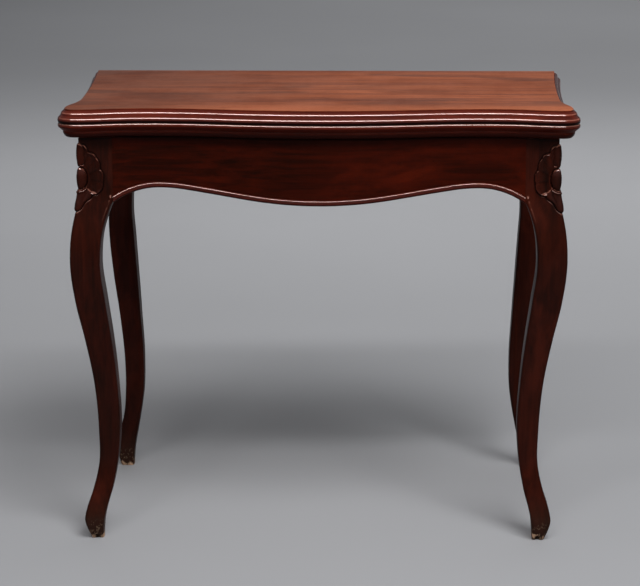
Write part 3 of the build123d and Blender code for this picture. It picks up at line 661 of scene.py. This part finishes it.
# Legs: (height, outer offset, inner offset, hollow) as shares of the leg below its block and of the block
FRONT_LEG = (
    (0.0, -0.13, 0.50, 0.0),
    (0.03, -0.01, 0.52, 0.0),
    (0.06, 0.06, 0.55, 0.0),
    (0.095, -0.01, 0.63, 0.0),
    (0.14, -0.17, 0.77, 0.0),
    (0.215, -0.355, 0.93, 0.0),
    (0.32, -0.37, 1.035, 0.0),
    (0.47, -0.26, 0.98, 0.0),
    (0.60, -0.035, 0.86, 0.0),
    (0.71, 0.19, 0.72, 0.0),
    (0.83, 0.315, 0.595, 0.15),
    (0.92, 0.25, 0.70, 0.6),
    (0.97, 0.14, 0.87, 0.9),
    (1.0, 0.05, 1.0, 1.0),
)
REAR_LEG = (
    (0.0, -0.05, 0.56, 0.0),
    (0.02, 0.0, 0.57, 0.0),
    (0.06, 0.02, 0.62, 0.0),
    (0.11, -0.05, 0.74, 0.0),
    (0.17, -0.25, 0.89, 0.0),
    (0.26, -0.37, 1.06, 0.0),
    (0.36, -0.37, 1.10, 0.0),
    (0.50, -0.21, 1.01, 0.0),
    (0.62, -0.01, 0.91, 0.0),
    (0.74, 0.13, 0.81, 0.0),
    (0.82, 0.15, 0.75, 0.0),
    (0.91, 0.10, 0.82, 0.0),
    (0.97, 0.03, 0.94, 0.0),
    (1.0, 0.0, 1.0, 0.0),
)
# How far the block flares at its foot, its corners soften below it, and the fine rings go on below it
FLARE_REACH = 22 * MM
SOFTENED = 12 * MM
CARVED_BELOW = 30 * MM
# Rings in the worn foot, 1 mm apart, and heights above which the lip and the carving start
FOOT_RINGS = 16
LIP_FROM = 465 * MM
CARVED_FROM = 555 * MM
CARVED_FACE_STEPS, PLAIN_FACE_STEPS = 56, 24
WORN_HEIGHT = 17 * MM
# The legs' crests get the painted highlight above this height, by this much of the table's share
LEG_HIGHLIGHT_FROM, LEG_HIGHLIGHT_SHARE = 0.53, 0.7
# Points of a leg, points of a sheet and rings of a leg that are closer than this are one
WELD, SHEET_WELD, ROW_GAP = 0.001 * MM, 0.02 * MM, 0.01 * MM
# Faces that turn by less than this, in radians, are one face
FLAT_ANGLE = 0.01


class LegPattern(NamedTuple):
    """What shapes a pair of legs: its block's width and height, its stations, how far the block's faces
    fall back, and whether the knee is carved."""

    block: float
    leg_break: float
    stations: tuple
    hollow: float
    carved: bool


# Knee carving, in mm. An edge's points are distance from the corner, height, and bulge to the next point
LEAF_EDGE = (
    (-20, 668, 0),
    (1, 679, 0),
    (8, 681, 1.2),
    (15.5, 668, 2.6),
    (28, 659, 2.2),
    (34, 640, 3.2),
    (38, 617, 3.2),
    (29, 598, 1.5),
    (12, 600, 0),
    (-20, 600, 0),
)
LEAF_HEART = (2, 626)
LEAF_BODY, LEAF_LIFT, LEAF_DISH, LEAF_RIM = 2.4, 1.3, 1.3, 0.8
LEAF_LENGTH, LEAF_ROUND, LEAF_RIM_AT, LEAF_RIM_WIDTH = 32, 2.0, 1.1, 1.1
LEAF_DISHED = (1.5, 7)
VEIN_DEPTH, VEIN_WIDTH = 0.9, 2.2
DROP_EDGE = (
    (-20, 611, 0),
    (9, 611, 1.0),
    (17, 606, 1.6),
    (21, 597, 1.6),
    (15, 589, -0.8),
    (9, 580, 1.8),
    (0, 571, 0),
    (-20, 571, 0),
)
DROP_BODY, DROP_ROUND = 4.4, 5.5
DROP_VEIN_DEPTH, DROP_VEIN_SLANT, DROP_VEIN = 0.7, 0.3, (8, 592)
RIBBON_EDGE = (
    (-20, 684, 0),
    (0, 684, 1.0),
    (7.5, 677, 1.2),
    (8.0, 664, 0.8),
    (9.0, 651, 1.0),
    (3.0, 647, 0),
    (-20, 647, 0),
)
RIBBON_FOOT, RIBBON_LENGTH = 647, 37
RIBBON_BODY, RIBBON_ARCH, RIBBON_ROUND, RIBBON_LEAST = 2.2, 1.9, 3.6, 0.6
RIBBON_GROOVE, RIBBON_GROOVE_REACH = 0.8, 1.6
BUD_HEART, BUD_RADII, BUD_BODY, BUD_LEAST = (0, 625), (12.5, 18.5), 4.8, 0.8
# The groove and rim round the bud: depth or height, then place and width as shares of its radius
BUD_GROOVE, BUD_GROOVE_AT, BUD_GROOVE_WIDTH = 1.8, 1.04, 0.06
BUD_RIM, BUD_RIM_AT, BUD_RIM_WIDTH = 1.1, 1.2, 0.1
GROUND_DEPTH, GROUND_REACH = 0.9, 3.5
# Relief above which a place is carving and not ground, and relief that gets neither painted highlight nor
# painted shade
RAISED, MIDDLE_RELIEF, RELIEF_SPAN = 0.02, 2.3, 1.8

# Worn feet and the lip that runs on from the bead, in mm
FOOT_HOLLOW, FOOT_HOLLOW_TOP, FOOT_HOLLOW_FULL = 4.5, 11.5, 5.0
FOOT_CHIP, FOOT_CHIP_TOP, FOOT_CHIP_WIDTH = 1.5, 5.0, 2.0
LIP_HEIGHT, LIP_INSET, LIP_WIDTH = 2.4, 4.5, 2.2
LIP_RISE, LIP_FALL = (470, 560), (598, 590)


def smooth_curve(stations, count):
    """Smooth values through the stations at evenly spaced heights."""
    table = np.array(stations, float)
    heights = table[:, 0]
    slopes = np.gradient(table[:, 1:], heights, axis=0)
    at = np.linspace(0, 1, count)
    index = np.clip(np.searchsorted(heights, at, side="right") - 1, 0, len(heights) - 2)
    span = heights[index + 1] - heights[index]
    t = ((at - heights[index]) / span)[:, None]
    p0, p1 = table[index, 1:], table[index + 1, 1:]
    m0, m1 = slopes[index] * span[:, None], slopes[index + 1] * span[:, None]
    values = (2 * t**3 - 3 * t**2 + 1) * p0 + (t**3 - 2 * t**2 + t) * m0
    return at, values + (3 * t**2 - 2 * t**3) * p1 + (t**3 - t**2) * m1


def smoothstep(low, high, value):
    """A smooth change from 0 to 1 while value goes from low to high."""
    t = np.clip((value - low) / (high - low), 0, 1)
    return t * t * (3 - 2 * t)


def ridge(away, width):
    """A soft ridge, 1 at its middle."""
    return np.exp(-((away / width) ** 2))


def swell(inside, reach):
    """A rounded rise from an edge to full height over a reach."""
    return np.sqrt(1 - (1 - np.clip(inside / reach, 0, 1)) ** 2)


def section_ring(near, far, hollow, radius, face_steps, back_steps=6, corner_steps=6):
    """Points round one section, from the outer corner along the front face and back along the side face."""
    corners = [(near, near), (far, near - hollow), (far, far), (near - hollow, far)]
    corners = [np.array(corner, float) for corner in corners]
    steps = [face_steps, back_steps, back_steps, face_steps]
    ring = []
    for number in range(4):
        here, after, before = corners[number], corners[(number + 1) % 4], corners[number - 1]
        to_after = (after - here) / np.linalg.norm(after - here)
        to_before = (before - here) / np.linalg.norm(before - here)
        centre = here + (to_after + to_before) * radius
        for step in range(corner_steps + 1):
            turn = math.pi / 2 * step / corner_steps
            ring.append(centre - radius * (to_after * math.cos(turn) + to_before * math.sin(turn)))
        start, end = here + to_after * radius, after - to_after * radius
        for step in range(1, steps[number]):
            ring.append(start + (end - start) * step / steps[number])
    half = corner_steps // 2
    return np.array(ring[half:] + ring[:half])


def scalloped(edge):
    """Corners of an outline whose sides bulge out between its points."""
    points = []
    for (x, z, bulge), (next_x, next_z, _) in zip(edge, edge[1:] + edge[:1]):
        run = np.array([next_x - x, next_z - z], float)
        out = np.array([-run[1], run[0]]) / np.linalg.norm(run)
        for share in np.arange(0, 1, 1 / 6 if bulge else 1):
            points.append(np.array([x, z]) + run * share + out * bulge * math.sin(math.pi * share))
    return np.array(points)


def depth_inside(edge, across, height):
    """Distance to an outline's edge, above zero inside it."""
    start = scalloped(edge)
    run = np.roll(start, -1, axis=0) - start
    away = np.stack([across, height], axis=-1)[:, None] - start
    share = np.clip((away * run).sum(-1) / (run**2).sum(-1), 0, 1)
    distance = np.linalg.norm(away - share[..., None] * run, axis=-1).min(axis=-1)
    above = away[..., 1] >= 0
    crossed = (above != (away[..., 1] - run[:, 1] >= 0)) & (
        away[..., 0] * run[:, 1] * np.sign(run[:, 1]) < away[..., 1] * run[:, 0] * np.sign(run[:, 1])
    )
    return np.where(crossed.sum(-1) % 2 == 1, distance, -distance)


def spread_leaf(across, height):
    """Relief of the knee's leaf: a thin raised rim, dished lobes, and veins from its notches to its heart."""
    inside = depth_inside(LEAF_EDGE, across, height)
    out = np.hypot(across - LEAF_HEART[0], height - LEAF_HEART[1])
    turn = np.arctan2(height - LEAF_HEART[1], across - LEAF_HEART[0])
    veins = np.zeros_like(inside)
    for x, z, bulge in LEAF_EDGE:
        if x > 0 and bulge:
            reach = math.hypot(x - LEAF_HEART[0], z - LEAF_HEART[1])
            swing = turn - math.atan2(z - LEAF_HEART[1], x - LEAF_HEART[0])
            aside = np.abs(np.arctan2(np.sin(swing), np.cos(swing))) * out
            veins = np.maximum(veins, ridge(aside, VEIN_WIDTH) * smoothstep(0.25, 1, out / reach))
    body = LEAF_BODY + LEAF_LIFT * smoothstep(0.3, 1.0, out / LEAF_LENGTH)
    rim = ridge(inside - LEAF_RIM_AT, LEAF_RIM_WIDTH)
    body = body - LEAF_DISH * smoothstep(*LEAF_DISHED, inside) + LEAF_RIM * rim
    return (body - VEIN_DEPTH * veins) * swell(inside, LEAF_ROUND), smoothstep(-GROUND_REACH, 0, inside)


def drop_leaf(across, height):
    """Relief of the small leaf that hangs below, with one slanting vein."""
    inside = depth_inside(DROP_EDGE, across, height)
    aside = across - DROP_VEIN[0] - (height - DROP_VEIN[1]) * DROP_VEIN_SLANT
    body = DROP_BODY * swell(inside, DROP_ROUND) - DROP_VEIN_DEPTH * ridge(aside, VEIN_WIDTH)
    return np.where(inside > 0, body, 0), smoothstep(-GROUND_REACH, 0, inside)


def carving(across, height):
    """Relief of the knee's leaves, ribbon and bud in mm, and its recess, at a distance from the corner and a
    height. The recess is from -CROWN on the bud's crown to 1 in hollows."""
    across = np.abs(across)
    spread, ground = spread_leaf(across, height)
    hanging, below = drop_leaf(across, height)
    relief = np.maximum(spread, hanging)
    ribbon = depth_inside(RIBBON_EDGE, across, height)
    arch = np.sin(math.pi * np.clip((height - RIBBON_FOOT) / RIBBON_LENGTH, 0, 1))
    arched = (RIBBON_BODY + RIBBON_ARCH * arch) * swell(ribbon, RIBBON_ROUND)
    sunk = relief - RIBBON_GROOVE * smoothstep(-RIBBON_GROOVE_REACH, 0, ribbon)
    relief = np.where(ribbon > 0, np.maximum(arched, RIBBON_LEAST), sunk)
    rise = (height - BUD_HEART[1]) / BUD_RADII[1]
    out = np.sqrt(((across - BUD_HEART[0]) / BUD_RADII[0]) ** 2 + rise**2)
    dome = BUD_BODY * np.sqrt(np.clip(1 - out**2, 0, 1))
    groove = BUD_GROOVE * ridge(out - BUD_GROOVE_AT, BUD_GROOVE_WIDTH)
    rim = BUD_RIM * ridge(out - BUD_RIM_AT, BUD_RIM_WIDTH)
    relief = np.where(out < 1, np.maximum(dome, BUD_LEAST), relief - groove + rim)
    around = np.maximum(ground, below)
    raised = relief > RAISED
    recess = np.where(raised, np.clip((MIDDLE_RELIEF - relief) / RELIEF_SPAN, -1, 1), around)
    crown = smoothstep(0.1, 0.7, rise) * (out < 1)
    recess = recess * (1 - crown) - CROWN * crown
    return np.where(raised, relief, -GROUND_DEPTH * around), recess


def foot_and_lip(run, width, height, lip):
    """Relief of the worn hollow under a foot's faces and of the lip that runs on from the rail's bead."""
    across = np.abs(run)
    wavy = 1.0 * np.sin(run * 1.9 + height) + 0.7 * np.sin(run * 4.3)
    low = smoothstep(FOOT_HOLLOW_TOP + wavy, FOOT_HOLLOW_FULL + wavy, height)
    hollow = ridge(across - 0.5 * width, 0.2 * width) * low
    chip = ridge(across - 0.86 * width, FOOT_CHIP_WIDTH) * smoothstep(FOOT_CHIP_TOP, 0.0, height)
    relief = -FOOT_HOLLOW * hollow - FOOT_CHIP * chip
    if lip:
        edge = ridge(run - width + LIP_INSET, LIP_WIDTH)
        edge = edge * smoothstep(*LIP_RISE, height) * smoothstep(*LIP_FALL, height)
        relief = relief + LIP_HEIGHT * edge
    return relief


def in_relief(ring, width, height, settings, carved):
    """One ring pushed out and in by what is carved and worn on it, and its recess. width is its section's."""
    lengths = np.linalg.norm(np.roll(ring, -1, axis=0) - ring, axis=1)
    run = np.concatenate([[0], np.cumsum(lengths)[:-1]])
    run = np.where(run > lengths.sum() / 2, run - lengths.sum(), run) / MM
    tangent = np.roll(ring, -1, axis=0) - np.roll(ring, 1, axis=0)
    normal = np.stack([-tangent[:, 1], tangent[:, 0]], axis=1)
    normal /= np.linalg.norm(normal, axis=1)[:, None]
    normal *= np.sign(((ring - ring.mean(axis=0)) * normal).sum(axis=1))[:, None]
    level = np.full(len(run), height / MM)
    depth = foot_and_lip(run, width / MM, level, carved)
    if height > CARVED_FROM:
        relief, recess = carving(run, level)
        depth = depth + relief * settings.relief
    else:
        # The worn hollow's depth gives it painted shade
        recess = np.clip(-depth / 3, 0, 1)
    return ring + normal * depth[:, None] * MM, recess


def rows_at(heights, rows):
    """Rows read off between others, at these heights."""
    table = np.array(rows)
    return [(h, *[np.interp(h, table[:, 0], table[:, column]) for column in (1, 2, 3)]) for h in heights]


def leg_rows(knee, pattern, settings):
    """(height, outer offset, inner offset, hollow) of each ring, closer together on the knee and the foot."""
    shares, values = smooth_curve(pattern.stations, int(knee / settings.coarse_step))
    rows = [(share * knee, *value) for share, value in zip(shares, values)]
    step = settings.fine_step if pattern.carved else settings.coarse_step
    count = int(pattern.leg_break / step)
    for number in range(count):
        rise = pattern.leg_break * (number + 1) / count
        flare = pattern.stations[-1][1] * max(0, 1 - rise / FLARE_REACH) ** 2
        rows.append((knee + rise, flare, 1.0, 1.0 if pattern.hollow else 0.0))
    if pattern.carved:
        start = knee - CARVED_BELOW
        between = int((knee - start) / step)
        fine = rows_at([start + (knee - start) * number / between for number in range(between)], rows)
        kept = [row for row in rows if row[0] < start]
        rows = kept + fine + [row for row in rows if row[0] >= knee - ROW_GAP]
    fine = rows_at(np.arange(FOOT_RINGS) * MM, rows)
    return fine + [row for row in rows if row[0] >= FOOT_RINGS * MM]


def rolled_up(rings, shades):
    """A closed tube from rings of points: a grid rolled round, welded along its seam and filled at its ends.
    shades holds each point's recess."""
    rows, columns = len(rings), len(rings[0]) + 1
    bm = bmesh.new()
    bmesh.ops.create_grid(bm, x_segments=columns - 1, y_segments=rows - 1, size=1)
    recess = bm.verts.layers.float.new("recess")
    for vert in bm.verts:
        row = round((vert.co.y + 1) / 2 * (rows - 1))
        column = round((vert.co.x + 1) / 2 * (columns - 1))
        vert.co = rings[row][column % (columns - 1)]
        vert[recess] = shades[row][column % (columns - 1)]
    bmesh.ops.remove_doubles(bm, verts=bm.verts[:], dist=WELD)
    rims = [edge for edge in bm.edges if edge.is_boundary]
    bmesh.ops.holes_fill(bm, edges=rims)
    return bm


def cabriole_leg(name, node, side, end, pattern, settings, material):
    """A leg of rounded square sections, swung out at the knee and the foot, with its knee carved if asked.
    side is -1 on the left, end is -1 at the front."""
    low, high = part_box(node)
    proudest = max(row[1] for row in pattern.stations) * pattern.block
    face_x = side * (abs(high.x if side > 0 else low.x) - proudest)
    face_y = end * (abs(high.y if end > 0 else low.y) - proudest)
    knee = high.z - pattern.leg_break
    lean = settings.lean if end < 0 else 0
    rings, shades = [], []
    for height, outer, inner, fall in leg_rows(knee, pattern, settings):
        squared = float(smoothstep(knee - SOFTENED, knee, np.array(height)))
        radius = settings.edge_round + (settings.block_round - settings.edge_round) * squared
        near, far = outer * pattern.block, -inner * pattern.block
        steps = CARVED_FACE_STEPS if pattern.carved else PLAIN_FACE_STEPS
        ring = section_ring(near, far, fall * pattern.hollow, radius, steps)
        recess = np.zeros(len(ring))
        if height < FOOT_RINGS * MM or pattern.carved and height > LIP_FROM:
            width = (outer + inner) * pattern.block
            ring, recess = in_relief(ring, width, height, settings, pattern.carved)
        leaning = lean * max(0, 1 - height / knee)
        rings.append([(face_x + side * x - leaning, face_y + end * y, height) for x, y in ring])
        shades.append(recess)
    finished(name, rolled_up(rings, shades), material, FRAME_BODY, [node])


class TABLE_OT_legs(bpy.types.Operator):
    """Shapes the four cabriole legs and carves the front knees"""

    bl_idname = "table.legs"
    bl_label = "Legs"

    def execute(self, context):
        wood = context.scene.table_wood
        legs = context.scene.table_leg
        leg = finish_wood(
            "leg_wood",
            "Z",
            tuple(wood.leg),
            tuple(wood.leg_deep),
            worn=(tuple(wood.bare), WORN_HEIGHT),
            rubbed=(tuple(wood.rubbed), wood.crest_highlight_share * LEG_HIGHLIGHT_SHARE, LEG_HIGHLIGHT_FROM),
            # The legs get painted shade close under the top
            under=(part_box("front_left_leg")[1].z, LEG_SHADE),
            carved=True,
            coat=0.04,
            shine=0.02,
        )
        front = LegPattern(legs.front_block, legs.front_break, FRONT_LEG, legs.hollow, True)
        rear = LegPattern(legs.rear_block, legs.rear_break, REAR_LEG, 0, False)
        for side, hand in ((-1, "left"), (1, "right")):
            cabriole_leg(f"carved_front_{hand}_leg", f"front_{hand}_leg", side, -1, front, legs, leg)
            cabriole_leg(f"shaped_rear_{hand}_leg", f"rear_{hand}_leg", side, 1, rear, legs, leg)
        return {"FINISHED"}


# Hinges, pivot and baize
class TABLE_OT_metal(bpy.types.Operator):
    """Finishes the brass hinges and the iron pivot"""

    bl_idname = "table.metal"
    bl_label = "Hinges and pivot"

    def execute(self, context):
        metal = context.scene.table_metal
        brass = finish_metal("aged_brass", tuple(metal.brass), tuple(metal.brass_deep), 0.3)
        iron = finish_metal("dark_iron", tuple(metal.iron), tuple(metal.rust), 0.45, 0.8)
        dress([name for name in nodes if "hinge" in name], brass)
        pivot = ["pivot_plate", "pivot_plate_screws", "pivot_bolt", "pivot_washer", "pivot_nut"]
        dress([*pivot, "stop_block_screws"], iron)
        return {"FINISHED"}


class TABLE_OT_baize(bpy.types.Operator):
    """Lays the two baize sheets"""

    bl_idname = "table.baize"
    bl_label = "Baize"

    def execute(self, context):
        cloth = context.scene.table_cloth
        baize = finish_baize("green_baize", tuple(cloth.green), tuple(cloth.green_deep))
        for node, leaf, body in (
            ("lower_baize", "lower_leaf", LOWER_BODY),
            ("upper_baize", "upper_leaf", UPPER_BODY),
        ):
            bm = bmesh.new()
            bm.from_mesh(nodes[node].data)
            bmesh.ops.remove_doubles(bm, verts=bm.verts[:], dist=SHEET_WELD)
            bmesh.ops.dissolve_limit(bm, angle_limit=FLAT_ANGLE, verts=bm.verts[:], edges=bm.edges[:])
            piece = finished(node + "_cloth", bm, baize, body, [node])
            for face in piece.data.polygons:
                face.use_smooth = False
        return {"FINISHED"}


class TABLE_PT_panel(bpy.types.Panel):
    """Buttons for each group of pieces"""

    bl_idname = "TABLE_PT_panel"
    bl_label = "Card table"
    bl_space_type = "VIEW_3D"
    bl_region_type = "UI"
    bl_category = "Card table"

    def draw(self, context):
        for operator in OPERATORS:
            self.layout.operator(operator.bl_idname)


SETTINGS = {
    "table_studio": StudioSettings,
    "table_wood": WoodSettings,
    "table_cloth": ClothSettings,
    "table_metal": MetalSettings,
    "table_leg": LegSettings,
}
OPERATORS = (TABLE_OT_stage, TABLE_OT_top, TABLE_OT_frame, TABLE_OT_legs, TABLE_OT_metal, TABLE_OT_baize)


def register():
    for group in SETTINGS.values():
        bpy.utils.register_class(group)
    for operator in OPERATORS:
        bpy.utils.register_class(operator)
    bpy.utils.register_class(TABLE_PT_panel)
    for name, group in SETTINGS.items():
        setattr(bpy.types.Scene, name, PointerProperty(type=group))


def unregister():
    for name in SETTINGS:
        delattr(bpy.types.Scene, name)
    bpy.utils.unregister_class(TABLE_PT_panel)
    for operator in reversed(OPERATORS):
        bpy.utils.unregister_class(operator)
    for group in reversed(SETTINGS.values()):
        bpy.utils.unregister_class(group)


def main():
    register()
    bpy.ops.table.stage()
    bpy.ops.table.top()
    bpy.ops.table.frame()
    bpy.ops.table.legs()
    bpy.ops.table.metal()
    bpy.ops.table.baize()


if __name__ == "__main__":
    main()
